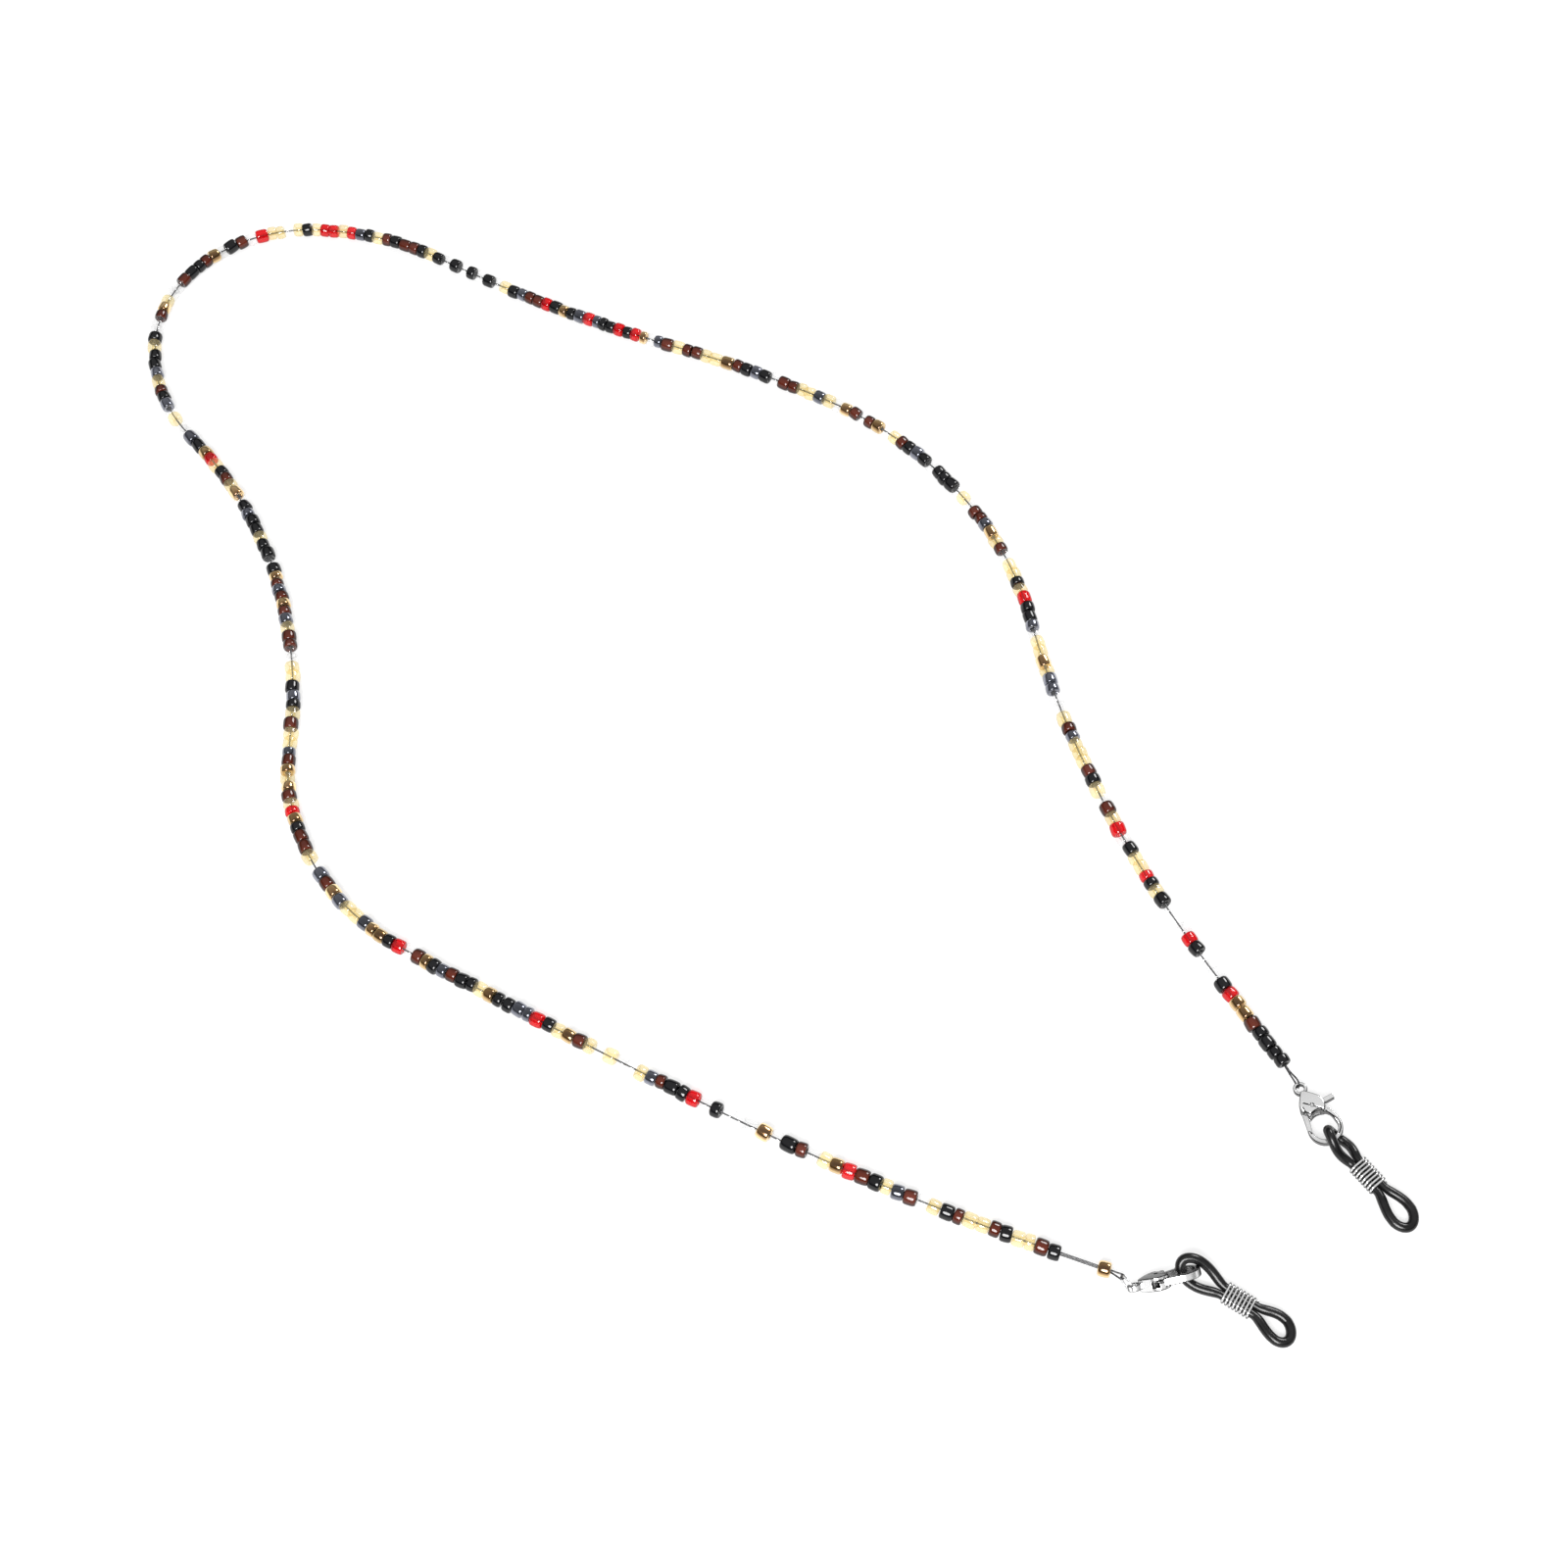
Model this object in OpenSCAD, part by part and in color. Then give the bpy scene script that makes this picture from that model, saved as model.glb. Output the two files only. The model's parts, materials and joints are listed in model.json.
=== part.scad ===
// Beaded eyeglass chain: glass seed beads on one doubled-back beading wire, with a lobster clasp and a
// sprung rubber temple loop at each end. It lies in open curves on a floor at z = 0.

/* [Glass beads] */
// Outside diameter of a middling bead
bead_d = 3.0; // [2.8:0.1:3.1]
// Diameter of the hole through every bead
bead_hole = 1.04; // [0.98:0.02:1.1]
// Radius that rounds a bead's rims
bead_round = 0.55; // [0.3:0.05:0.6]
// How far bead diameters stray from the middling one, as a share
bead_d_spread = 0.06; // [0:0.01:0.07]
// How far bead lengths stray from the middling one, as a share
bead_length_spread = 0.22; // [0:0.01:0.3]
// Gap between neighbouring beads
bead_gap = 0.12; // [0.08:0.01:0.16]
// Wider gap where the chain bends as a joint
flex_gap = 0.5; // [0.45:0.05:0.6]

/* [Strand] */
// Diameter of the beading wire
wire_d = 0.35; // [0.3:0.01:0.36]
// Where the bead next to the right clasp ends, on the floor
strand_start = [110.43, -83.16]; // [-200:0.1:200]
// Direction the strand leaves that bead in, in degrees
strand_heading = 119.9; // [110:0.1:130]
// Curves the strand lies in from the right end to the left, each [length, turn to the left in degrees]
lay = [
    [22.7, 0.5], [89.3, -21.1], [78.9, 51.6], [37.2, 8.3], [62.8, -11.2], [31.4, 27.8],
    [50.4, 90.5], [37.6, 45.5], [90.5, -41.3], [57.4, 59.7], [69.3, 1.9], [68.3, 7.4]
]; // [-180:0.1:180]
// Bare doubled wire between the strand and the last gold bead at the left
left_bare = 7.0; // [4:0.1:9]
// Beads counted from the right end at which the strand flexes
flex_after = [47, 102, 196, 252]; // [10:1:290]
// Where some beads begin, each [beads counted from the right end, distance along the strand]
bead_marks = [
    [36, 82.6], [67, 155.7], [86, 199.1], [99, 231.2], [127, 292.6], [146, 334.9], [163, 376.7],
    [179, 418.3], [204, 474.7], [227, 524.9], [255, 587.6], [272, 626.8], [285, 659.1]
]; // [1:0.1:690]

/* [Stringing order] */
// One letter a bead from the right end: blacK, Brown, Gold, Red, Clear, champagne Y, gunMetal
order = str(
    "KKKKBGGRKCCCKRCCCKYKRYYKCRYBCYKBYYYMBYCCMMYGYY",
    "CMKKRYKYYCBYGMBBCYCKKKCKMKBYCGBCBGCYMYYBBCKMKBGYYBBYBMC",
    "GRKRKKMRMKGKRBBMKYCKCKCKCKYKBBKBYKMRYRRYKYCYYRCBKCGBKKB",
    "CCYGBCCKYKKMYBKMCYCCMKGRYKBYGCKMKKYKKCKGBMBGBMYBBCCYYKMKYBYYM",
    "BGYGBYRGKBBYCMBGMYYMGGKRCBGKMBKKYGKKMMRKYGBYCYCCY",
    "MBKKRCKCCCGCKBCYGRBKYMBCYKBYYBKYYBK"
); // [K, B, G, R, C, Y, M]

/* [Clasps] */
// Centre of the right clasp's eye
right_eye = [112.73, -88.16, 1.6]; // [-200:0.1:200]
// Direction of the right clasp, its rise and its roll, in degrees
right_clasp_pose = [-72, 4.5, 14]; // [-180:0.1:180]
// Centre of the left clasp's eye
left_eye = [78.57, -126.64, 2.55]; // [-200:0.1:200]
// Direction of the left clasp, its rise and its roll, in degrees: it leans on its gate edge
left_clasp_pose = [17, -0.7, 121]; // [-180:0.1:180]
// Outside radius of a clasp's eye
eye_r = 1.25; // [1.1:0.05:1.3]
// Radius of the hole in a clasp's eye
eye_hole_r = 0.78; // [0.7:0.02:0.8]
// Thickness of the eye
eye_t = 1.0; // [0.9:0.1:1.1]
// Thickness of the clasp round its lever
bulb_t = 2.1; // [2:0.1:2.3]
// Thickness of the clasp's hook
hook_t = 1.3; // [1.2:0.1:1.4]
// Thickness of the lever
lever_t = 1.1; // [1:0.05:1.15]
// Radius of the pin that the lever turns on
pin_r = 0.35; // [0.3:0.01:0.4]
// Diameter of the wire in the lever's spring
spring_wire_d = 0.16; // [0.12:0.01:0.18]

/* [Jump ring] */
// Centre of the ring between the wire and the left clasp
ring_centre = [77.38, -125.71, 1.8]; // [-200:0.05:200]
// Direction that the standing ring's plane runs in, in degrees
ring_heading = -56; // [-70:1:-40]
// Radius of the ring to the middle of its wire
ring_r = 1.55; // [1.4:0.05:1.7]
// Diameter of the ring's wire
ring_wire_d = 0.45; // [0.4:0.01:0.5]

/* [Temple loops] */
// Diameter of the rubber cord
cord_d = 1.85; // [1.7:0.05:1.9]
// Diameter that the coil squeezes the cord to
squeezed_d = 1.6; // [1.5:0.05:1.7]
// Half the distance between the cord's two legs in the coil
pinch = 0.82; // [0.8:0.01:0.86]
// Half the width of an eye, to the middle of the cord
eye_half = 2.15; // [2:0.05:2.3]
// Tip of the right loop at the clasp, middle of its coil, and its temple end
right_loop_spots = [[116.49, -97.02, 3.38], [123.03, -105.3, 1.6], [129.5, -114.7, 1.1]]; // [-200:0.05:200]
// Direction of the right coil, and its loop's roll at the clasp, the coil and the far end, in degrees
right_loop_pose = [-53.4, -57, 2, 5]; // [-180:1:180]
// Tip of the left loop at the clasp, middle of its coil, and its temple end
left_loop_spots = [[87.17, -122.16, 3], [97.03, -128.76, 1.42], [105.25, -135.4, 0.98]]; // [-200:0.05:200]
// Direction of the left coil, and its loop's roll at the clasp, the coil and the far end, in degrees
left_loop_pose = [-34.2, 31, 4, 0]; // [-180:1:180]

/* [Coil grips] */
// Length of a coil grip
coil_length = 6.1; // [5.8:0.1:6.3]
// Turns in a coil grip
coil_turns = 8; // [7:1:9]
// Diameter of a coil grip's wire
coil_wire_d = 0.45; // [0.4:0.01:0.5]

/* [Hidden] */
GLASSES = [
    ["black", "K", [0.05, 0.05, 0.06]], ["brown", "B", [0.3, 0.12, 0.08]],
    ["gold", "G", [0.65, 0.5, 0.25]], ["red", "R", [0.8, 0.08, 0.1]],
    ["clear", "C", [0.9, 0.92, 0.93]], ["champagne", "Y", [0.95, 0.86, 0.6]],
    ["gunmetal", "M", [0.3, 0.31, 0.36]]
];
LENGTHS = ["right_lower", "right_upper", "neck", "left_upper", "left_lower"];
ENDS = ["right", "left"];
END_PIECES = [
    "crimp", "clasp_body", "clasp_lever", "clasp_pin", "clasp_spring", "temple_loop", "coil_grip"
];

wire_r = wire_d / 2;
strand_z = bead_d * (1 + bead_d_spread) / 2;
strand_n = len(order);
// Two strands side by side, a hair apart
strand_offset = wire_r + 0.02;
crimp_bore_r = 2 * wire_r + 0.04;
crimp_r = crimp_bore_r + 0.09;
crimp_length = 1.5;
cord_r = cord_d / 2;
squeezed_r = squeezed_d / 2;
steel = [0.82, 0.82, 0.84];
rubber = [0.08, 0.08, 0.09];

// Lobster clasp, in its own plane: X runs from its eye to its hook, Y to its back
hook_centre = [8.9, 0.75];
hook_inner_r = 2.4;
hook_outer_r = 3.2;
opening_near = [7.9, 0.7];
opening_near_r = 2.3;
neck_spot = [1.45, 0.05];
neck_r = 0.6;
lever_pivot = [4.2, 0.45];
bulb_r = 2.3;
// The gate's gap in the front wall, then the notch that its lip shuts into, each [low corner, high corner]
gate_gap = [[4.9, -5], [8.55, -1.1]];
lip_notch = [[8.5, -2.05], [9.12, -0.85]];
// The lever's room between the cheeks
room_t = lever_t + 0.14;
room_r = 1.2;
room_outline = [[4.2, 1.55], [7, 1.4], [7, -3], [4.3, -3], [3.2, -0.15]];
tab_sweep = [94, 108, 123];
tab_room = [4, 1.15];
// The lever: a hub with two arms, each [direction, reach, width], and the gate with its lip
hub_r = 1;
gate_arm = [-50, 2.2, 1.5];
tab_arm = [96, 4.4, 0.9];
gate_outline = [[5.05, -1.95], [8.46, -2.42], [8.46, -1.98], [8.84, -1.98], [8.84, -1.72], [5.6, -1]];
hub_clear_r = 1.25;
pin_clear = 0.03;

// ---- Places along the strand ----

// A pose [x, y, heading] moved along part of an arc
function along(pose, length, turn) =
    let (half = turn / 2, chord = abs(turn) < 0.01 ? length : length * sin(half) / (half * PI / 180))
    [pose[0] + chord * cos(pose[2] + half), pose[1] + chord * sin(pose[2] + half), pose[2] + turn];

lay_n = len(lay);
lay_poses = [
    for (i = 0, pose = [strand_start[0], strand_start[1], strand_heading]; i < lay_n;
        pose = along(pose, lay[i][0], lay[i][1]), i = i + 1) pose
];
lay_starts = [for (i = 0, s = 0; i <= lay_n; s = s + (i < lay_n ? lay[i][0] : 0), i = i + 1) s];
strand_length = lay_starts[lay_n];

// The pose at a distance s from the right end; past the left end it goes on straight
function pose_at(s) =
    let (i = max([for (k = [0:lay_n - 1]) if (k == 0 || lay_starts[k] <= s) k]))
    let (gone = s - lay_starts[i], whole = lay[i][0])
    gone <= whole ? along(lay_poses[i], gone, lay[i][1] * gone / whole)
        : let (end = along(lay_poses[i], whole, lay[i][1])) along(end, gone - whole, 0);

// A fixed scatter between -1 and 1 for bead number i
function scatter(i, salt) = let (v = sin(i * 127.1 + salt * 311.7) * 437.585) 2 * (v - floor(v)) - 1;

shares = [for (i = [0:strand_n - 1]) 1 + bead_length_spread * scatter(i, 1)];
share_sums = [for (i = 0, s = 0; i <= strand_n; s = s + (i < strand_n ? shares[i] : 0), i = i + 1) s];
marks = concat([[0, 0]], bead_marks, [[strand_n, strand_length]]);
// Distance along the strand of the gap before bead i
function gap_at(i) =
    let (k = max([for (m = [0:len(marks) - 2]) if (marks[m][0] <= i) m]))
    let (from = marks[k], to = marks[k + 1])
    let (share = (share_sums[i] - share_sums[from[0]]) / (share_sums[to[0]] - share_sums[from[0]]))
    from[1] + share * (to[1] - from[1]);
function gap_width(i) = len([for (f = flex_after) if (f == i) f]) > 0 ? flex_gap : bead_gap;
end_bead_length = 2.3;
end_bead_s = strand_length + left_bare + end_bead_length / 2;

// ---- Paths and sweeps ----

function unit(v) = v / norm(v);
function flat_dir(heading) = [cos(heading), sin(heading), 0];
// A point at distance s, moved sideways and up from the middle of the strand
function strand_point(s, side = 0, up = 0) =
    let (p = pose_at(s))
    [p[0] - side * sin(p[2]), p[1] + side * cos(p[2]), strand_z + up];

// A smooth run through points, with some steps between each two
function smooth(points, steps) =
    let (last = len(points) - 1)
    concat([for (i = [0:last - 1]) for (k = [0:steps - 1])
        let (t = k / steps, a = points[max(i - 1, 0)], b = points[i])
        let (c = points[i + 1], d = points[min(i + 2, last)])
        b + t * (c - a) / 2 + t * t * (a - 2.5 * b + 2 * c - d / 2)
            + t * t * t * (1.5 * (b - c) + (d - a) / 2)], [points[last]]);

// A round wire along a path, of one radius or a radius for each point; side_of is a direction, or one
// for each point, that the path never runs along
module wire_along(path, r, sides, side_of, closed = false) {
    n = len(path);
    rings = [for (i = [0:n - 1])
        let (before = closed ? path[(i + n - 1) % n] : path[max(i - 1, 0)])
        let (after = closed ? path[(i + 1) % n] : path[min(i + 1, n - 1)])
        let (way = unit(after - before), ref = is_list(side_of[0]) ? side_of[i] : side_of)
        let (across = unit(cross(way, ref)), up = cross(across, way))
        for (k = [0:sides - 1]) let (a = 360 * k / sides, here_r = is_list(r) ? r[i] : r)
            path[i] + here_r * (across * cos(a) + up * sin(a))];
    walls = [for (i = [0:(closed ? n - 1 : n - 2)]) for (k = [0:sides - 1])
        let (j = (i + 1) % n, m = (k + 1) % sides)
        each [
            [i * sides + k, i * sides + m, j * sides + k],
            [j * sides + k, i * sides + m, j * sides + m]
        ]];
    ends = closed ? [] : [for (k = [1:sides - 2])
        each [[0, k + 1, k], [(n - 1) * sides, (n - 1) * sides + k, (n - 1) * sides + k + 1]]];
    polyhedron(rings, concat(walls, ends));
}

// ---- Beads, wire and crimps ----

// A round-rimmed glass bead with its hole along X
module glass_bead(length, d) {
    r = d / 2;
    half = length / 2;
    rim = min(bead_round, half - 0.1);
    rotate([0, 90, 0]) rotate_extrude($fn = 24) polygon(concat(
        [[bead_hole / 2, -half]],
        [for (a = [-90:30:0]) [r - rim + rim * cos(a), -half + rim + rim * sin(a)]],
        [for (a = [0:30:90]) [r - rim + rim * cos(a), half - rim + rim * sin(a)]],
        [[bead_hole / 2, half]]
    ));
}

module on_strand(s) {
    p = pose_at(s);
    translate([p[0], p[1], strand_z]) rotate([0, 0, p[2]]) children();
}

// The beads of one glass in one length of the strand
module beads(part, glass) {
    first = part == 0 ? 0 : flex_after[part - 1];
    last = part == len(LENGTHS) - 1 ? strand_n : flex_after[part];
    color(glass[2]) {
        for (i = [first:last - 1]) if (order[i] == glass[1]) {
            from = gap_at(i) + gap_width(i) / 2;
            to = gap_at(i + 1) - gap_width(i + 1) / 2;
            on_strand((from + to) / 2) glass_bead(to - from, bead_d * (1 + bead_d_spread * scatter(i, 2)));
        }
        if (part == len(LENGTHS) - 1 && glass[0] == "gold")
            on_strand(end_bead_s) glass_bead(end_bead_length, bead_d);
    }
}

// Bead gaps that one length of wire runs through, as distances along the strand
function wire_run(part) =
    let (first = part == 0 ? 0 : flex_after[part - 1], last = part == 4 ? strand_n : flex_after[part])
    [for (i = [first:last]) gap_at(i)];

// The wire's own gap at a flex joint, so that its lengths stay apart
wire_gap = 0.1;

module wire_length(part) {
    run = wire_run(part);
    n = len(run);
    middle = [for (i = [1:n - 2]) strand_point(run[i])];
    head = [strand_point(run[0] + wire_gap)];
    tail = [strand_point(run[n - 1] - wire_gap)];
    path = part == 0 ? concat(right_wire_end(), middle, tail)
        : part == 4 ? concat(head, middle, left_wire_end())
        : concat(head, middle, tail);
    color(steel) wire_along(path, wire_r, 8, part == 0 || part == 4 ? end_refs(path, part) : [0, 0, 1]);
}

// Side directions for the two end wires: each loop turns about its own upright or level line
function end_refs(path, part) =
    part == 0 ? [for (p = path) unit([sin(right_clasp_pose[0]), -cos(right_clasp_pose[0]), 0])]
        : [for (p = path) [0, 0, 1]];

// How far the wire's ends run back into the strand, and the number of steps that round their bends
tail = 2.2;
tail_bend = 1.2;
bend_steps = 4;

// Where the upright wire passes through the right clasp's eye
eye_wire_out = eye_hole_r - wire_r - 0.03;
right_hold = right_eye - eye_wire_out * flat_dir(right_clasp_pose[0]);

// Tail in the end bead, out under the eye, up through it and back over it into the bead
function right_wire_end() =
    let (clear = [0, 0, eye_t / 2 + wire_r + 0.12], lift = [0, 0, strand_offset])
    let (way = flat_dir(right_clasp_pose[0]), rim = right_hold - 0.3 * way, back = right_hold - 1.3 * way)
    let (mouth = strand_point(0), third = mouth + 0.35 * (right_hold - mouth), bow = [0, 0, 0.37])
    concat(
        [strand_point(tail) - lift, strand_point(tail_bend) - lift],
        smooth([
            mouth - lift, third - bow, back - clear, rim - clear, right_hold - clear / 2, right_hold,
            right_hold + clear / 2, rim + clear, back + clear, third + bow, mouth + lift
        ], bend_steps),
        [strand_point(tail_bend) + lift, strand_point(tail) + lift]
    );

// The near side of the jump ring, which the left wire goes round
left_hold = ring_centre - ring_r * flat_dir(ring_heading);

// Out of the last strand bead and the gold bead, round the ring's wire and back beside itself
function left_wire_end() =
    let (mouth_s = end_bead_s + end_bead_length / 2, reach = ring_wire_d / 2 + wire_r + 0.06)
    let (mouth = strand_point(mouth_s), way = unit(left_hold - mouth), across = [-way[1], way[0], 0])
    let (halfway = (mouth + left_hold) / 2, bow = 1.6 * strand_offset * across)
    let (run = [strand_length - tail, strand_length, mouth_s - end_bead_length])
    concat(
        [for (s = run) strand_point(s, strand_offset)],
        smooth(concat(
            [strand_point(mouth_s, strand_offset), halfway + bow],
            [for (a = [90:-45:-90]) left_hold + reach * (way * cos(a) + across * sin(a))],
            [halfway - bow, strand_point(mouth_s, -strand_offset)]
        ), bend_steps),
        [for (i = [2:-1:0]) strand_point(run[i], -strand_offset)]
    );

// A micro crimp tube hidden in the hole of the strand's last bead
crimp_inset = 1.15;
module crimp(at) {
    color(steel) on_strand(at) rotate([0, 90, 0]) linear_extrude(crimp_length, center = true) difference() {
        circle(r = crimp_r, $fn = 24);
        circle(r = crimp_bore_r, $fn = 24);
    }
}

module left_jump_ring() {
    color(steel) translate(ring_centre) rotate([0, 0, ring_heading]) rotate([90, 0, 0])
        rotate_extrude($fn = 48) translate([ring_r, 0]) circle(r = ring_wire_d / 2, $fn = 20);
}

// ---- Lobster clasp ----

module place_clasp(eye, pose) {
    translate(eye) rotate([0, 0, pose[0]]) rotate([0, -pose[1], 0]) rotate([pose[2], 0, 0]) children();
}

module plate(t) { linear_extrude(t, center = true) children(); }
module disc(at, r) { translate(at) circle(r = r, $fn = 64); }
module block(corners) { translate(corners[0]) square(corners[1] - corners[0]); }

// A straight bar from the lever's pivot in some direction
module arm(direction, reach, width) {
    translate(lever_pivot) rotate(direction) translate([0, -width / 2]) square([reach, width]);
}

function from_pivot(angle, r) = lever_pivot + r * [cos(angle), sin(angle)];

module clasp_outline() {
    hull() {
        disc(lever_pivot, bulb_r - 0.1);
        disc(hook_centre, hook_outer_r);
    }
}

module clasp_opening() {
    hull() {
        disc(hook_centre, hook_inner_r);
        disc(opening_near, opening_near_r);
    }
}

module lever_room() {
    disc(lever_pivot, room_r);
    polygon(room_outline);
    for (direction = tab_sweep) arm(direction, tab_room[0], tab_room[1]);
}

module clasp_body(eye, pose) {
    color(steel) place_clasp(eye, pose) difference() {
        union() {
            plate(eye_t) disc([0, 0], eye_r);
            plate(bulb_t) hull() {
                disc(neck_spot, neck_r);
                disc(lever_pivot, bulb_r);
            }
            plate(hook_t) clasp_outline();
        }
        plate(bulb_t + 1) {
            clasp_opening();
            disc([0, 0], eye_hole_r);
            block(gate_gap);
            block(lip_notch);
            disc(lever_pivot, pin_r + 0.005);
        }
        plate(room_t) lever_room();
    }
}

module clasp_lever(eye, pose) {
    color(steel) place_clasp(eye, pose) difference() {
        union() {
            // The hub and its arm to the gate are half as thick, to leave room for the spring
            translate([0, 0, -lever_t / 4]) plate(lever_t / 2) {
                disc(lever_pivot, hub_r);
                arm(gate_arm[0], gate_arm[1], gate_arm[2]);
            }
            plate(lever_t) difference() {
                polygon(gate_outline);
                disc(lever_pivot, hub_clear_r);
            }
            plate(lever_t) difference() {
                arm(tab_arm[0], tab_arm[1], tab_arm[2]);
                disc(lever_pivot, hub_r - 0.02);
            }
        }
        plate(bulb_t) disc(lever_pivot, pin_r + pin_clear);
    }
}

module clasp_pin(eye, pose) {
    color(steel) place_clasp(eye, pose) plate(bulb_t) disc(lever_pivot, pin_r);
}

// A torsion spring round the pin: one leg on the cheeks' wall, one on the lever's tab arm
module clasp_spring(eye, pose) {
    turns = 2.5;
    leg_from = [-50, 130];
    leg_way = [-85, 190];
    leg_length = [0.75, 0.4];
    r = pin_r + 0.06 + spring_wire_d / 2;
    low = spring_wire_d / 2 + 0.03;
    rise = spring_wire_d + 0.03;
    legs = [for (i = [0, 1])
        from_pivot(leg_from[i], r) + leg_length[i] * [cos(leg_way[i]), sin(leg_way[i])]];
    coil = [for (a = [0:30:turns * 360])
        let (at = from_pivot(leg_from[0] + a, r)) [at[0], at[1], low + rise * a / 360]];
    path = concat([[legs[0][0], legs[0][1], low]], coil, [[legs[1][0], legs[1][1], low + rise * turns]]);
    color(steel) place_clasp(eye, pose) wire_along(path, spring_wire_d / 2, 6, [0, 0, 1]);
}

// ---- Rubber temple loop and its coil grip ----

function bent(a, b, c, t) = (1 - t) * (1 - t) * a + 2 * t * (1 - t) * b + t * t * c;
function eased(t) = (1 - cos(180 * t)) / 2;

// How far the legs run straight on from the coil before they turn
leg_lead = 3;

// Middle line of a loop: t runs from -1 at the clasp through the coil, 0 to 1, to 2 at the temple end
function loop_line(spots, pose, t) =
    let (c = flat_dir(pose[0]), near = spots[1] - c * coil_length / 2, far = spots[1] + c * coil_length / 2)
    t < 0 ? bent(near, near - leg_lead * c, spots[0], -t)
        : t > 1 ? bent(far, far + leg_lead * c, spots[2], t - 1)
        : near + t * (far - near);

// Sideways direction of a loop, rolled about its length
function loop_side(pose, t) =
    let (roll = t < 0 ? pose[2] - eased(-t) * (pose[2] - pose[1])
        : t > 1 ? pose[2] + eased(t - 1) * (pose[3] - pose[2]) : pose[2])
    [-sin(pose[0]) * cos(roll), cos(pose[0]) * cos(roll), sin(roll)];

// Radius of the cord, which narrows as it nears the coil
function cord_r_at(t) =
    let (out = t < 0 ? -t : t > 1 ? t - 1 : 0, swell = 0.3)
    squeezed_r + (cord_r - squeezed_r) * eased(min(1, out / swell));

// Half widths of one side from the clasp end to the temple end, each [place on the line, half width]
function side_stations() =
    let (round_part = 0.28, arc = [for (a = [9:9:90]) a], taper = [for (k = [1:8]) k / 9])
    concat(
        [for (a = arc) [-1 + round_part * (1 - cos(a)), eye_half * sin(a)]],
        [for (k = taper) [-(1 - round_part) * (1 - k), pinch + (eye_half - pinch) * (1 - eased(k))]],
        [for (k = [0:4]) [k / 4, pinch]],
        [for (k = taper) [1 + (1 - round_part) * k, pinch + (eye_half - pinch) * eased(k)]],
        [for (a = arc) [2 - round_part * (1 - sin(a)), eye_half * cos(a)]]
    );

module temple_loop(spots, pose) {
    one_side = side_stations();
    n = len(one_side);
    round_trip = concat([[-1, 0]], one_side, [for (i = [n - 2:-1:0]) [one_side[i][0], -one_side[i][1]]]);
    path = [for (s = round_trip) loop_line(spots, pose, s[0]) + s[1] * loop_side(pose, s[0])];
    ups = [for (s = round_trip)
        let (before = loop_line(spots, pose, max(s[0] - 0.1, -1)))
        let (after = loop_line(spots, pose, min(s[0] + 0.1, 2)))
        cross(after - before, loop_side(pose, s[0]))];
    radii = [for (s = round_trip) cord_r_at(s[0])];
    color(rubber) wire_along(path, radii, 12, ups, true);
}

module coil_grip(spots, pose) {
    per_turn = 20;
    reach = squeezed_r + 0.03 + coil_wire_d / 2;
    run = coil_length - coil_wire_d;
    path = [for (k = [0:per_turn * coil_turns])
        let (a = 360 * k / per_turn, spread = max(-1, min(1, 3 * cos(a))))
        [run * (k / per_turn / coil_turns - 0.5), pinch * spread + reach * cos(a), reach * sin(a)]];
    color(steel) translate(spots[1]) rotate([0, 0, pose[0]]) rotate([pose[2], 0, 0])
        wire_along(path, coil_wire_d / 2, 8, [1, 0, 0]);
}

// ---- Nodes ----

for (part = [0:len(LENGTHS) - 1]) {
    wire_length(part);
    for (glass = GLASSES)
        beads(part, glass);
}
crimp(crimp_inset);  // right_crimp
clasp_body(right_eye, right_clasp_pose);  // right_clasp_body
clasp_lever(right_eye, right_clasp_pose);  // right_clasp_lever
clasp_pin(right_eye, right_clasp_pose);  // right_clasp_pin
clasp_spring(right_eye, right_clasp_pose);  // right_clasp_spring
temple_loop(right_loop_spots, right_loop_pose);  // right_temple_loop
coil_grip(right_loop_spots, right_loop_pose);  // right_coil_grip
crimp(strand_length - crimp_inset);  // left_crimp
left_jump_ring();
clasp_body(left_eye, left_clasp_pose);  // left_clasp_body
clasp_lever(left_eye, left_clasp_pose);  // left_clasp_lever
clasp_pin(left_eye, left_clasp_pose);  // left_clasp_pin
clasp_spring(left_eye, left_clasp_pose);  // left_clasp_spring
temple_loop(left_loop_spots, left_loop_pose);  // left_temple_loop
coil_grip(left_loop_spots, left_loop_pose);  // left_coil_grip
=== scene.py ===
import json
import math

import bmesh
import bpy
import numpy as np
from mathutils import Matrix, Vector


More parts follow.
